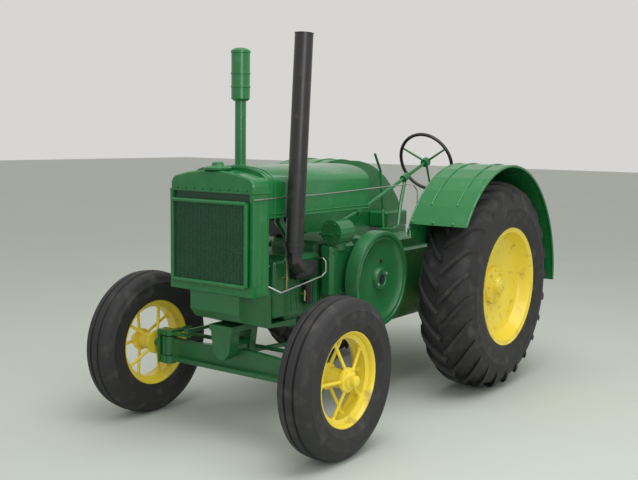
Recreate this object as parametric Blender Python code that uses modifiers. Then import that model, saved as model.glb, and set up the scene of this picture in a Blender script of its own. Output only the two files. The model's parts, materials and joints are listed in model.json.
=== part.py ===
"""Two-cylinder standard-tread farm tractor on rubber tyres, built as separate named pieces.

Frame: metres, +Z up, floor at z = 0, nose towards -Y, the tractor's left side is +X.
The origin is on the floor, below the middle of the tractor's length and width.
Moving pieces are parented to an empty that stands on their joint axis.
"""

import math

import bmesh
import bpy
from mathutils import Matrix, Vector

# ---------------------------------------------------------------- driving dimensions
WHEELBASE = 1.7405
REAR_AXLE_Y = 0.51
FRONT_AXLE_Y = REAR_AXLE_Y - WHEELBASE
FRONT_TRACK_HALF = 0.674
REAR_TRACK_HALF = 0.651
FRONT_TYRE_R = 0.415
REAR_TYRE_R = 0.673
KINGPIN_X = 0.50
STEER_ARM = 0.15          # kingpin to tie rod pin, straight back
DRAG_ARM = 0.14           # right kingpin to drag link ball, straight inboard
PITMAN_LENGTH = 0.24
CRANK_Y = REAR_AXLE_Y - 0.958
CRANK_Z = 0.80
CASE_HALF = 0.24          # half width of the main case
COVER_HALF = 0.17         # half width of the case's raised top
HOOD_HALF = 0.28
HOOD_FRONT = REAR_AXLE_Y - 1.8095
HOOD_BACK = REAR_AXLE_Y - 0.86
HOOD_LOW = 1.195
GAP = 0.0003              # play between touching pieces
WHEEL_STEPS = 32          # facets round a wheel
FAN_Z = 1.035
EXHAUST_R = 0.048
TANK_TOP = 1.441          # crown of the radiator top tank
FAN_TIP = 0.15            # blade tip radius
SIDES = (("left", 1), ("right", -1))

GREEN = ("green_paint", (0.03, 0.22, 0.07), 0.3, 0.0)
DARK_GREEN = ("dark_green_screen", (0.01, 0.08, 0.03), 0.5, 0.0)
YELLOW = ("yellow_paint", (0.85, 0.68, 0.04), 0.35, 0.0)
RUBBER = ("tyre_rubber", (0.02, 0.02, 0.02), 0.7, 0.0)
BLACK = ("black_enamel", (0.015, 0.015, 0.015), 0.4, 0.0)
STEEL = ("bright_steel", (0.55, 0.55, 0.53), 0.35, 1.0)
BRASS = ("brass", (0.7, 0.5, 0.2), 0.35, 1.0)


def aft(distance):
    """World y of a place this far behind the rear axle (negative: ahead of it)."""
    return REAR_AXLE_Y + distance


# ---------------------------------------------------------------- tools
for old in list(bpy.data.objects):
    bpy.data.objects.remove(old, do_unlink=True)
PARTS = bpy.data.collections.new("vintage_tractor")
CUTTERS = bpy.data.collections.new("cutters")
for collection in (PARTS, CUTTERS):
    bpy.context.scene.collection.children.link(collection)
CUTTERS.hide_render = True


def material(finish):
    """The Principled material of a finish, made once."""
    name, colour, roughness, metallic = finish
    found = bpy.data.materials.get(name)
    if found:
        return found
    made = bpy.data.materials.new(name)
    made.use_nodes = True
    shader = made.node_tree.nodes["Principled BSDF"]
    shader.inputs["Base Color"].default_value = (*colour, 1)
    shader.inputs["Roughness"].default_value = roughness
    shader.inputs["Metallic"].default_value = metallic
    return made


def add(name, data, finish, place=Matrix.Identity(4)):
    """An object for this data, dressed and put in the tractor's collection."""
    obj = bpy.data.objects.new(name, data)
    obj.matrix_world = place
    data.materials.append(material(finish))
    PARTS.objects.link(obj)
    return obj


def smooth(obj, degrees=35):
    """Round surfaces shade smooth, edges sharper than this stay sharp."""
    obj.data.shade_smooth()
    obj.data.set_sharp_from_angle(angle=math.radians(degrees))
    return obj


def bevel(obj, width, segments=1):
    modifier = obj.modifiers.new("edges", "BEVEL")
    modifier.width = width
    modifier.segments = segments
    modifier.limit_method = "ANGLE"
    return obj


def box(name, low, high, finish, edge=0.0):
    """A block between two corners, with its edges rounded by `edge`."""
    low, high = Vector(low), Vector(high)
    shape = bmesh.new()
    bmesh.ops.create_cube(shape, size=1, matrix=Matrix.Diagonal((*(high - low), 1)))
    data = bpy.data.meshes.new(name)
    shape.to_mesh(data)
    obj = add(name, data, finish, Matrix.Translation((low + high) / 2))
    return bevel(obj, edge) if edge else obj


def cone(name, start, end, radius, finish, end_radius=None, sides=16):
    """A round bar or taper from start to end, with flat ends."""
    start, end = Vector(start), Vector(end)
    last = radius if end_radius is None else end_radius
    shape = bmesh.new()
    bmesh.ops.create_cone(
        shape, cap_ends=True, segments=sides, radius1=radius, radius2=last, depth=(end - start).length
    )
    data = bpy.data.meshes.new(name)
    shape.to_mesh(data)
    turn = (end - start).to_track_quat("Z", "Y").to_matrix().to_4x4()
    return smooth(add(name, data, finish, Matrix.Translation((start + end) / 2) @ turn))


def turned(name, profile, centre, axis, finish, steps=32):
    """A turned piece. profile: (radius, height along the axis) rows that run down the outer side.

    The profile closes on itself or starts and ends on the axis. axis is a world direction.
    """
    closed = profile[0][0] > 0
    data = bpy.data.meshes.new(name)
    rows = len(profile)
    edges = [(i, i + 1) for i in range(rows - 1)]
    if closed:
        edges.append((rows - 1, 0))
    data.from_pydata([(radius, 0, height) for radius, height in profile], edges, [])
    turn = Vector(axis).to_track_quat("Z", "Y").to_matrix().to_4x4()
    obj = add(name, data, finish, Matrix.Translation(centre) @ turn)
    screw = obj.modifiers.new("turn", "SCREW")
    screw.steps = screw.render_steps = steps
    screw.use_merge_vertices = True
    screw.merge_threshold = 0.0001
    screw.use_smooth_shade = True
    return obj


def as_mesh(obj):
    """The evaluated object as a welded mesh object with the same name and place."""
    bpy.context.view_layer.update()
    graph = bpy.context.evaluated_depsgraph_get()
    data = bpy.data.meshes.new_from_object(obj.evaluated_get(graph))
    shape = bmesh.new()
    shape.from_mesh(data)
    bmesh.ops.remove_doubles(shape, verts=shape.verts, dist=0.00002)
    bmesh.ops.recalc_face_normals(shape, faces=shape.faces)
    shape.to_mesh(data)
    name, place = obj.name, obj.matrix_world.copy()
    bpy.data.objects.remove(obj)
    made = bpy.data.objects.new(name, data)
    made.matrix_world = place
    PARTS.objects.link(made)
    return made


def curve(name, points, finish, closed=False, flat=False):
    """A curve object of one polyline through world points, or through (u, v) points when flat."""
    data = bpy.data.curves.new(name, "CURVE")
    data.dimensions = "2D" if flat else "3D"
    line = data.splines.new("POLY")
    line.points.add(len(points) - 1)
    for point, place in zip(line.points, points):
        point.co = (*place, 1) if len(place) == 3 else (*place, 0, 1)
    line.use_cyclic_u = closed
    return add(name, data, finish)


def tube(name, points, radius, finish, resolution=2):
    """A pipe or wire through the points, with closed ends."""
    obj = curve(name, points, finish)
    obj.data.bevel_depth = radius
    obj.data.bevel_resolution = resolution
    obj.data.use_fill_caps = True
    return as_mesh(obj)


SIDE_PLANE = Matrix(((0, 0, 1), (1, 0, 0), (0, 1, 0))).to_4x4()      # (u, v) -> (y, z), thickness along x
FRONT_PLANE = Matrix(((1, 0, 0), (0, 0, -1), (0, 1, 0))).to_4x4()    # (u, v) -> (x, z), thickness along y


def plate(name, outline, plane, low, high, finish, edge=0.0):
    """A flat outline given thickness from low to high along the plane's normal."""
    obj = curve(name, outline, finish, closed=True, flat=True)
    obj.data.fill_mode = "BOTH"
    obj.data.extrude = (high - low) / 2
    normal = plane.to_3x3() @ Vector((0, 0, 1))
    middle = (high + low) / 2 * (1 if sum(normal) > 0 else -1)
    obj.matrix_world = Matrix.Translation(normal * middle) @ plane
    made = as_mesh(obj)
    return bevel(made, edge) if edge else made


def arc(centre, radius, start, end, count):
    """Points on a circle from start to end degrees."""
    angles = [math.radians(start + (end - start) * i / count) for i in range(count + 1)]
    return [(centre[0] + radius * math.cos(a), centre[1] + radius * math.sin(a)) for a in angles]


def shape_with(target, tools, operation):
    for tool in tools:
        tool.parent = target
        tool.matrix_parent_inverse = target.matrix_basis.inverted()
        modifier = target.modifiers.new(tool.name, "BOOLEAN")
        modifier.operation = operation
        modifier.solver = "EXACT"
        modifier.object = tool
        PARTS.objects.unlink(tool)
        CUTTERS.objects.link(tool)
        tool.hide_render = True
        tool.display_type = "WIRE"
    return target


def join(target, *tools):
    return shape_with(target, tools, "UNION")


def cut(target, *tools):
    return shape_with(target, tools, "DIFFERENCE")


def pivot(name, place, pieces, parent=None):
    """An empty on a joint axis that carries the moving pieces."""
    empty = bpy.data.objects.new(name, None)
    empty.empty_display_size = 0.05
    empty.matrix_world = Matrix.Translation(place)
    PARTS.objects.link(empty)
    for piece in pieces:
        piece.parent = empty
        piece.matrix_parent_inverse = empty.matrix_basis.inverted()
    if parent:
        empty.parent = parent
        empty.matrix_parent_inverse = Matrix.Translation(parent.matrix_basis.translation).inverted()
    return empty


# ---------------------------------------------------------------- main case, engine, rear axle
def main_case():
    """Crankcase and transmission in one casting, from the cylinder block to behind the rear axle."""
    low = [(aft(-1.25), 0.50), (aft(-1.25), 0.90), (aft(0.20), 0.90), (aft(0.24), 0.86), (aft(0.24), 0.52),
           (aft(0.10), 0.45), (aft(-1.05), 0.45)]
    high = [(aft(-1.24), 0.85), (aft(-1.24), 1.02), (aft(-0.78), 1.02), (aft(-0.62), 0.96), (aft(0.10), 0.96),
            (aft(0.18), 0.92), (aft(0.18), 0.85)]
    case = plate("main_case", low, SIDE_PLANE, -CASE_HALF, CASE_HALF, GREEN, edge=0.03)
    cover = plate("case_cover", high, SIDE_PLANE, -COVER_HALF, COVER_HALF, GREEN, edge=0.02)
    return join(case, cover)


def cylinder_block():
    """Two cylinders side by side, lying lengthwise ahead of the crankcase, with the head in front."""
    block = box("cylinder_block", (-0.22, aft(-1.58), 0.62), (0.22, aft(-1.25) - GAP, 0.97), GREEN, 0.025)
    head = box("cylinder_head", (-0.205, aft(-1.665), 0.64), (0.205, aft(-1.57), 0.95), GREEN, 0.012)
    return join(block, head)


def front_support():
    """Casting under the radiator that carries the axle pivot and bolts to the engine."""
    nose = plate(
        "front_support",
        [(aft(-1.935), 0.80), (aft(-1.935), 0.70), (aft(-1.895), 0.655), (aft(-1.70), 0.595), (aft(-1.45), 0.575),
         (aft(-1.45), 0.614), (aft(-1.669), 0.614), (aft(-1.669), 0.80)],
        SIDE_PLANE, -0.15, 0.19, GREEN)
    fork = []
    for name, front, back in (("pivot_lug_front", -1.86, -1.7895), ("pivot_lug_rear", -1.6915, -1.64)):
        outline = [(-0.075, 0.60), (-0.055, 0.46), (-0.02, 0.425), (0.02, 0.425), (0.055, 0.46), (0.075, 0.60)]
        lug = plate(name, outline, FRONT_PLANE, aft(front), aft(back), GREEN)
        fork.append(lug)
    bar = box("pivot_crown", (-0.08, aft(-1.865), 0.58), (0.08, aft(-1.635), 0.612), GREEN)
    return join(nose, bar, *fork)


def front_axle():
    """Cast I-beam with a centre boss for the swing pin and an eye for each kingpin."""
    middle = FRONT_AXLE_Y
    web = [(-0.44, 0.345), (0.44, 0.345), (0.46, 0.365), (0.46, 0.462), (0.30, 0.455), (0.10, 0.47),
           (-0.10, 0.47), (-0.30, 0.455), (-0.46, 0.462), (-0.46, 0.365)]
    beam = plate("front_axle", web, FRONT_PLANE, middle - 0.02, middle + 0.02, GREEN)
    flange = box("axle_foot", (-0.42, middle - 0.052, 0.34), (0.42, middle + 0.052, 0.364), GREEN)
    boss = cone("axle_boss", (0, middle - 0.048, 0.475), (0, middle + 0.048, 0.475), 0.05, GREEN, sides=16)
    ends = []
    for side, sign in SIDES:
        place = sign * KINGPIN_X
        ends.append(cone("eye_" + side, (place, middle, 0.362), (place, middle, 0.468), 0.042, GREEN, sides=16))
    bores = [cone("bore_" + side, (sign * KINGPIN_X, middle, 0.30), (sign * KINGPIN_X, middle, 0.52), 0.0195,
                  GREEN, sides=16) for side, sign in SIDES]
    return cut(join(beam, flange, boss, *ends), *bores)


def radius_rod():
    """V-shaped brace from the axle's foot back to a ball seat under the crankcase."""
    tip = (0, aft(-1.12), 0.40)
    legs = [tube("radius_leg_" + side, [(sign * 0.27, FRONT_AXLE_Y + 0.0525, 0.352),
                                        (sign * 0.27, FRONT_AXLE_Y + 0.08, 0.352), tip], 0.014, GREEN)
            for side, sign in SIDES]
    seat = cone("radius_rod", (0, aft(-1.12), 0.375), (0, aft(-1.12), 0.45 - GAP), 0.035, GREEN)
    return join(seat, *legs)


def rear_axle_housing(side, sign):
    """Trumpet from the case to the wheel's hub."""
    profile = [(0.0, 0.19), (0.075, 0.19), (0.075, 0.165), (0.09, 0.15), (0.115, 0.04), (0.15, 0.03),
               (0.15, 0.0), (0.0, 0.0)]
    place = (sign * (CASE_HALF + GAP), REAR_AXLE_Y, REAR_TYRE_R)
    return turned("rear_axle_housing_" + side, profile, place, (sign, 0, 0), GREEN, 24)


# ---------------------------------------------------------------- wheels
def tyre(name, centre, section, sign):
    """A tyre from the outer half of its section: (radius, distance from the middle) rows, bead to tread."""
    inner_half = [(radius, -height) for radius, height in reversed(section)]
    return turned(name, section + inner_half, centre, (sign, 0, 0), RUBBER, WHEEL_STEPS)


def front_wheel(side, sign):
    """Spoked wheel: drop-centre rim, ten round spokes from two hub flanges, ribbed hub."""
    centre = Vector((sign * FRONT_TRACK_HALF, FRONT_AXLE_Y, FRONT_TYRE_R))
    outward = (sign, 0, 0)
    rim_profile = [(0.245, 0.073), (0.245, -0.073), (0.221, -0.070), (0.206, -0.034), (0.206, 0.034), (0.221, 0.070)]
    rim = turned("front_rim_" + side, rim_profile, centre, outward, YELLOW, WHEEL_STEPS)
    hub_profile = [(0.0, 0.122), (0.030, 0.122), (0.038, 0.085), (0.060, 0.070), (0.048, 0.045), (0.052, -0.045),
                   (0.066, -0.068), (0.0, -0.068)]
    hub = turned("front_hub_" + side, hub_profile, centre, outward, YELLOW, 16)
    spokes = []
    for number in range(10):
        angle = math.tau * number / 10
        way = Vector((0, math.cos(angle), math.sin(angle)))
        flange = Vector((sign * (0.058 if number % 2 else -0.058), 0, 0))
        spokes.append(cone("spoke", centre + flange + way * 0.045, centre + way * 0.208 + flange * 0.2,
                           0.009, YELLOW, sides=6))
    bore = cone("hub_bore_" + side, centre - Vector((sign * 0.08, 0, 0)), centre + Vector((sign * 0.09, 0, 0)),
                0.0225, YELLOW, sides=16)
    wheel = cut(join(hub, rim, *spokes), bore)
    wheel.name = "front_wheel_" + side
    section = [(0.2465, 0.0735), (0.290, 0.099), (0.350, 0.0975), (0.399, 0.075), (FRONT_TYRE_R, 0.035)]
    rubber = tyre("front_tyre_" + side, centre, section, sign)
    return [wheel, rubber], centre


def rear_wheel(side, sign):
    """Dished steel disc on a flanged hub, with the axle's outer end, and a wide tyre."""
    centre = Vector((sign * REAR_TRACK_HALF, REAR_AXLE_Y, REAR_TYRE_R))
    outward = (sign, 0, 0)
    rim_profile = [(0.0, 0.044), (0.145, 0.044), (0.310, 0.068), (0.343, 0.085), (0.3505, 0.163), (0.3805, 0.1665),
                   (0.3805, -0.1665), (0.3505, -0.163), (0.336, -0.03), (0.300, 0.052), (0.145, 0.028), (0.0, 0.028)]
    rim = turned("rear_wheel_" + side, rim_profile, centre, outward, YELLOW, WHEEL_STEPS)
    hub_profile = [(0.0, 0.115), (0.052, 0.115), (0.064, 0.082), (0.115, 0.060), (0.115, 0.0), (0.07, -0.02),
                   (0.07, -0.19), (0.0, -0.19)]
    hub = turned("rear_hub_" + side, hub_profile, centre, outward, YELLOW, 20)
    wheel = join(rim, hub)
    section = [(0.382, 0.167), (0.455, 0.180), (0.560, 0.172), (0.632, 0.152), (0.662, 0.105), (REAR_TYRE_R, 0.04)]
    rubber = tyre("rear_tyre_" + side, centre, section, sign)
    return [wheel, rubber], centre


def knuckle(side, sign):
    """Fork round the axle's eye with its kingpin, the wheel spindle and the steering arms."""
    place = Vector((sign * KINGPIN_X, FRONT_AXLE_Y, 0))
    middle = FRONT_AXLE_Y

    def across(inner, outer):
        return sorted((sign * inner, sign * outer))

    near, far = across(KINGPIN_X + 0.046, KINGPIN_X + 0.064)
    back = box("knuckle_" + side, (near, middle - 0.034, 0.31), (far, middle + 0.034, 0.505), GREEN)
    lugs = []
    for name, low, high in (("lug_low", 0.31, 0.356), ("lug_high", 0.474, 0.505)):
        lugs.append(cone(name, place + Vector((0, 0, low)), place + Vector((0, 0, high)), 0.036, GREEN, sides=16))
        near, far = across(KINGPIN_X, KINGPIN_X + 0.055)
        lugs.append(box(name + "_web", (near, middle - 0.03, low), (far, middle + 0.03, high), GREEN))
    pin = cone("kingpin", place + Vector((0, 0, 0.335)), place + Vector((0, 0, 0.49)), 0.018, GREEN, sides=16)
    spindle = cone("spindle", (sign * (KINGPIN_X + 0.055), middle, FRONT_TYRE_R),
                   (sign * (FRONT_TRACK_HALF + 0.085), middle, FRONT_TYRE_R), 0.021, GREEN, sides=16)
    rear = box("tie_arm", (place.x - 0.018, middle, 0.478), (place.x + 0.018, middle + STEER_ARM + 0.02, 0.498), GREEN)
    pin_at = place + Vector((0, STEER_ARM, 0))
    rear_pin = cone("tie_pin", pin_at + Vector((0, 0, 0.435)), pin_at + Vector((0, 0, 0.485)), 0.008, GREEN, sides=12)
    pieces = [*lugs, pin, spindle, rear, rear_pin]
    if side == "right":
        near, far = across(KINGPIN_X - DRAG_ARM - 0.016, KINGPIN_X)
        pieces.append(box("drag_arm", (near, middle - 0.016, 0.478), (far, middle + 0.016, 0.494), GREEN))
        pieces.append(cone("drag_pin", (sign * (KINGPIN_X - DRAG_ARM), middle, 0.485),
                           (sign * (KINGPIN_X - DRAG_ARM), middle, 0.528), 0.008, GREEN, sides=12))
    return join(back, *pieces), place + Vector((0, 0, 0.415))


def rod_with_eyes(name, start, end, radius, eye_axis, finish):
    """A round rod with an eye at each end; each eye is (axis, outer radius, half length, bore)."""
    way = (Vector(end) - Vector(start)).normalized()
    rod = cone(name, Vector(start) + way * 0.012, Vector(end) - way * 0.012, radius, finish, sides=12)
    eyes = []
    bores = []
    for place, (axis, outer, half, bore) in zip((start, end), eye_axis):
        place, axis = Vector(place), Vector(axis)
        eyes.append(cone("eye", place - axis * half, place + axis * half, outer, finish))
        bores.append(cone("eye_bore", place - axis * 0.05, place + axis * 0.05, bore, finish, sides=16))
    return cut(join(rod, *eyes), *bores)


# ---------------------------------------------------------------- steering
JOINT_Y, JOINT_Z = aft(-0.20), 1.127
WHEEL_HUB = Vector((-0.15, aft(0.60), 1.436))
STEERING_R = 0.218
UPPER_END = Vector((-0.19, JOINT_Y, JOINT_Z))
BOX_ENTRY = Vector((-0.285, aft(-1.28), 0.79))
CROSS_SHAFT = Vector((-0.343, aft(-1.36), 0.75))
SUPPORT_AT = 0.30         # place of the steering post along the upper shaft, from the wheel


def steering():
    """Steering wheel on its sloping shaft, a jointed lower shaft, the gear housing and its drop arm."""
    down = (UPPER_END - WHEEL_HUB).normalized()
    turn = (-down).to_track_quat("Z", "Y").to_matrix().to_4x4()
    bpy.ops.mesh.primitive_torus_add(major_radius=STEERING_R, minor_radius=0.0125, major_segments=24, minor_segments=6)
    rim = bpy.context.object
    rim.name = "steering_wheel"
    for holder in list(rim.users_collection):
        holder.objects.unlink(rim)
    PARTS.objects.link(rim)
    rim.data.materials.append(material(BLACK))
    rim.matrix_world = Matrix.Translation(WHEEL_HUB) @ turn
    hub = cone("wheel_hub", WHEEL_HUB + down * 0.03, WHEEL_HUB - down * 0.02, 0.03, GREEN)
    spokes = []
    for number in range(3):
        angle = math.radians(90 + 120 * number)
        tip = turn @ Vector((math.cos(angle), math.sin(angle), 0)) * (STEERING_R - 0.002)
        spokes.append(cone("wheel_spoke", WHEEL_HUB, WHEEL_HUB + tip, 0.007, GREEN, sides=8))
    shaft = cone("upper_shaft", WHEEL_HUB, UPPER_END - down * 0.02, 0.013, GREEN, sides=12)
    wheel = join(rim, hub, *spokes, shaft)

    way = (BOX_ENTRY - UPPER_END).normalized()
    lower = cone("lower_steering_shaft", UPPER_END + way * 0.012, BOX_ENTRY - way * 0.006, 0.013, GREEN, sides=12)
    yoke = cone("steering_yoke", UPPER_END + way * 0.012, UPPER_END + way * 0.07, 0.024, GREEN, sides=12)
    join(lower, yoke)

    gear_box = box("steering_gearbox", (-0.32, aft(-1.45), 0.68), (-0.2203, aft(-1.28), 0.84), GREEN, 0.02)
    boss = cone("gearbox_boss", (-0.30, CROSS_SHAFT.y, CROSS_SHAFT.z), (-0.322, CROSS_SHAFT.y, CROSS_SHAFT.z),
                0.035, GREEN)
    join(gear_box, boss)

    low = CROSS_SHAFT.z - PITMAN_LENGTH
    arm = plate("pitman_arm",
                arc((CROSS_SHAFT.y, CROSS_SHAFT.z), 0.032, -20, 200, 8)
                + arc((CROSS_SHAFT.y, low), 0.02, 180, 360, 6),
                SIDE_PLANE, -0.343, -0.323, GREEN)
    return wheel, lower, arm


def steering_post():
    """Upright that holds the upper shaft above the case."""
    way = (UPPER_END - WHEEL_HUB).normalized()
    place = WHEEL_HUB + way * SUPPORT_AT
    collar = cone("steering_post", place - way * 0.03, place + way * 0.03, 0.026, GREEN)
    leg = tube("post_leg", [place + Vector((0, 0, -0.015)), (place.x + 0.01, aft(0.25), 1.15), (-0.12, aft(0.16), 0.99),
                            (-0.12, aft(0.10) - 0.02, 0.975)], 0.014, GREEN)
    foot = box("post_foot", (-0.17, aft(-0.02), 0.96 + GAP), (-0.07, aft(0.095), 0.985), GREEN)
    bore = cone("post_bore", place - way * 0.05, place + way * 0.05, 0.0145, GREEN, sides=16)
    return cut(join(collar, leg, foot), bore)


# ---------------------------------------------------------------- radiator, hood
def radiator():
    """Cast top tank, side columns with bottom tank, core, front screen and filler cap."""
    half = 0.288
    shoulder = arc((half - 0.045, 1.363), 0.045, 0, 72, 4) + [(0.17, 1.426), (0.07, TANK_TOP - 0.002)]
    outline = [(-half, 1.327), (half, 1.327)] + shoulder + [(-x, z) for x, z in reversed(shoulder)]
    plate("radiator_top_tank", outline, FRONT_PLANE, aft(-1.939), aft(-1.811), GREEN, edge=0.008)
    outer, inner, low = 0.286, 0.2655, 0.803
    frame = [(-outer, low), (outer, low), (outer, 1.3267), (inner, 1.3267), (inner, 0.855), (-inner, 0.855),
             (-inner, 1.3267), (-outer, 1.3267)]
    plate("radiator_frame", frame, FRONT_PLANE, aft(-1.944), aft(-1.815), GREEN)
    box("radiator_core", (-0.265, aft(-1.93) + GAP, 0.8553), (0.265, aft(-1.83), 1.3267), DARK_GREEN)
    screen = box("radiator_screen", (-0.265, aft(-1.972), 0.845), (0.265, aft(-1.944) - GAP, 1.290), DARK_GREEN)
    recess = box("screen_recess", (-0.245, aft(-2.0), 0.868), (0.245, aft(-1.963), 1.270), DARK_GREEN)
    cut(screen, recess)
    profile = [(0.0, 0.026), (0.045, 0.026), (0.070, 0.014), (0.070, 0.0), (0.0, 0.0)]
    turned("radiator_cap", profile, (0, aft(-1.885), TANK_TOP + GAP), (0, 0, 1), GREEN, 24)


def hood():
    """Arched engine cover over the engine and the fuel tank."""
    half = HOOD_HALF
    shoulder = arc((half - 0.045, 1.375), 0.045, 0, 68, 4) + [(0.192, 1.437), (0.105, 1.452), (0.0, 1.457)]
    right = [(-x, z) for x, z in reversed(shoulder[:-1])]
    outline = [(-half, HOOD_LOW), (half, HOOD_LOW)] + shoulder + right
    plate("hood", outline, FRONT_PLANE, HOOD_FRONT, HOOD_BACK, GREEN)


# ---------------------------------------------------------------- stacks and engine fittings
def engine_fittings():
    tube("exhaust_stack", [(0.345, aft(-1.675), 1.02), (0.345, aft(-1.675), 1.06), (0.36, aft(-1.63), 2.144)],
         EXHAUST_R, BLACK, 4)
    manifold = tube("exhaust_manifold", [(0.2203, aft(-1.46), 0.90), (0.25, aft(-1.46), 0.90),
                                         (0.31, aft(-1.53), 0.915), (0.343, aft(-1.63), 0.935),
                                         (0.345, aft(-1.675), 0.975), (0.345, aft(-1.675), 1.02 - GAP)], 0.042, BLACK)
    intake = box("inlet_branch", (0.2203, aft(-1.56), 0.85), (0.28, aft(-1.37), 0.94), BLACK, 0.01)
    join(manifold, intake)
    bowl = cone("carburettor", (0.25, aft(-1.42), 0.70), (0.25, aft(-1.42), 0.83), 0.027, BLACK)
    throat = cone("carburettor_throat", (0.2203, aft(-1.42), 0.79), (0.26, aft(-1.42), 0.79), 0.024, BLACK)
    join(bowl, throat)
    tube("air_stack", [(-0.15, aft(-1.53), 1.4502), (-0.15, aft(-1.53), 1.809 - GAP)], 0.031, GREEN, 3)
    profile = [(0.0, 0.29), (0.035, 0.29), (0.055, 0.28), (0.055, 0.0), (0.0, 0.0)]
    turned("pre_cleaner", profile, (-0.15, aft(-1.53), 1.809), (0, 0, 1), GREEN, 24)
    case = box("governor_case", (CASE_HALF + GAP, aft(-1.306), 0.72), (0.33, aft(-1.065), 1.02), GREEN, 0.02)
    drum = cone("governor_drum", (0.315, aft(-1.30), 1.087), (0.315, aft(-1.16), 1.087), 0.070, GREEN, sides=16)
    neck = cone("governor_neck", (0.30, aft(-1.22), 0.99), (0.31, aft(-1.22), 1.07), 0.05, GREEN)
    join(case, drum, neck)
    box("magneto", (-0.22, aft(-1.22), 1.02 + GAP), (-0.11, aft(-1.06), 1.14), BLACK, 0.02)
    tube("water_outlet", [(0.15, aft(-1.46), 0.97 + GAP), (0.15, aft(-1.46), 1.05), (0.15, aft(-1.53), 1.13),
                                  (0.15, aft(-1.56), 1.16), (0.15, aft(-1.56), HOOD_LOW - GAP)], 0.026, GREEN)
    tube("lower_water_pipe", [(0.25, aft(-1.8147), 0.84), (0.25, aft(-1.78), 0.84), (0.30, aft(-1.73), 0.805),
                              (0.30, aft(-1.36), 0.85), (0.30, aft(-1.325), 0.87), (0.30, aft(-1.325), 0.925),
                              (0.28, aft(-1.325), 0.945), (0.2203, aft(-1.325), 0.945)], 0.0055, STEEL)


def crank():
    """Flywheel on the left, belt pulley on the right, on one crankshaft."""
    middle = (0, CRANK_Y, CRANK_Z)
    rim_r = 0.279
    flywheel_profile = [(0.0, 0.072), (0.058, 0.072), (0.064, 0.048), (0.225, 0.060), (0.255, 0.086), (rim_r, 0.080),
                        (rim_r, 0.0), (0.245, 0.0), (0.07, 0.02), (0.06, -0.015), (0.0, -0.015)]
    flywheel = turned("flywheel", flywheel_profile, (0.368, CRANK_Y, CRANK_Z), (1, 0, 0), GREEN, WHEEL_STEPS)
    shaft = cone("crankshaft", (CASE_HALF + 0.0005, CRANK_Y, CRANK_Z), (0.352, CRANK_Y, CRANK_Z), 0.036, STEEL)
    pulley_profile = [(0.0, 0.12), (0.07, 0.12), (0.08, 0.09), (0.180, 0.09), (0.188, 0.165), (0.205, 0.165),
                      (0.205, 0.0), (0.188, 0.0), (0.175, 0.06), (0.08, 0.06), (0.06, -0.055), (0.0, -0.055)]
    pulley = turned("belt_pulley", pulley_profile, (-0.3025, CRANK_Y, CRANK_Z), (-1, 0, 0), GREEN, 28)
    return [flywheel, shaft, pulley], middle


def fan():
    """Four-blade fan on a shaft behind the radiator."""
    centre = Vector((0.0, aft(-1.775), FAN_Z))
    hub = cone("fan", centre - Vector((0, 0.02, 0)), centre + Vector((0, 0.02, 0)), 0.045, GREEN)
    shaft = cone("fan_shaft", centre, centre + Vector((0, 0.09, 0)), 0.014, GREEN, sides=12)
    blades = []
    for number in range(4):
        angle = math.radians(45 + 90 * number)
        way = Vector((math.cos(angle), 0, math.sin(angle)))
        side = Vector((-way.z, 0, way.x))
        blade = box("blade", (-0.035, -0.003, 0.03), (0.035, 0.003, FAN_TIP), GREEN)
        turn = Matrix((side, side.cross(way), way)).transposed().to_4x4()
        blade.data.transform(Matrix.Translation((0, 0, (0.03 + FAN_TIP) / 2)))
        blade.matrix_world = Matrix.Translation(centre) @ turn @ Matrix.Rotation(math.radians(28), 4, "Z")
        blades.append(blade)
    return join(hub, shaft, *blades), centre


def fan_bracket():
    """Arm from the cylinder head up to the fan's bearing."""
    bearing = cone("fan_bracket", (0, aft(-1.67), FAN_Z), (0, aft(-1.60), FAN_Z), 0.035, GREEN)
    leg = box("bracket_leg", (-0.022, aft(-1.655), 0.9705), (0.022, aft(-1.615), FAN_Z), GREEN)
    return join(bearing, leg)


# ---------------------------------------------------------------- driver's place
WALL_REAR_START, WALL_REAR_END = 78, 16    # degrees above the axle where the inner wall's rear flap starts, ends
WALL_REAR_REACH, WALL_REAR_FALL = 0.914, 0.00165


def fender_radius(angle):
    """Distance of the fender from the wheel's centre: 0.69 behind the wheel, 0.815 ahead of it."""
    part = max(0.0, min(1.0, angle / 148))
    return 0.692 + 0.125 * (6 * part**5 - 15 * part**4 + 10 * part**3)


def fender(side, sign):
    """Rear fender: arched sheet over the wheel with a turned-down lip and a flat inner wall."""
    centre = (REAR_AXLE_Y, REAR_TYRE_R)
    angles = [-3 + 151 * i / 16 for i in range(17)]
    ridge = []
    lip = []
    for angle in angles:
        way = Vector((math.cos(math.radians(angle)), math.sin(math.radians(angle))))
        ridge.append(Vector(centre) + way * fender_radius(angle))
        lip.append(Vector(centre) + way * (fender_radius(angle) - 0.0025))
    inner, outer = 0.464, 0.842
    sheet = plate("fender_" + side, [*ridge, *[p - (p - Vector(centre)).normalized() * 0.005 for p in reversed(ridge)]],
                  SIDE_PLANE, *sorted((sign * inner, sign * outer)), GREEN)
    wall_rear = []
    for number in range(8):
        angle = WALL_REAR_END + (WALL_REAR_START - WALL_REAR_END) * number / 7
        reach = WALL_REAR_REACH - WALL_REAR_FALL * angle
        way = Vector((math.cos(math.radians(angle)), math.sin(math.radians(angle))))
        wall_rear.append(Vector(centre) + way * reach)
    wall_top = [p - (p - Vector(centre)).normalized() * 0.002 for p, angle in zip(lip, angles) if angle > 84]
    wall_low = [(aft(-0.66), 1.02), (aft(-0.24), 0.90), (aft(0.24), 0.90), (aft(0.30), 0.655), (aft(0.88), 0.655)]
    wall = plate("fender_wall", [*wall_rear, *wall_top, *wall_low], SIDE_PLANE,
                 *sorted((sign * (inner - 0.004), sign * (inner + 0.001))), GREEN)
    return join(sheet, wall)


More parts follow.
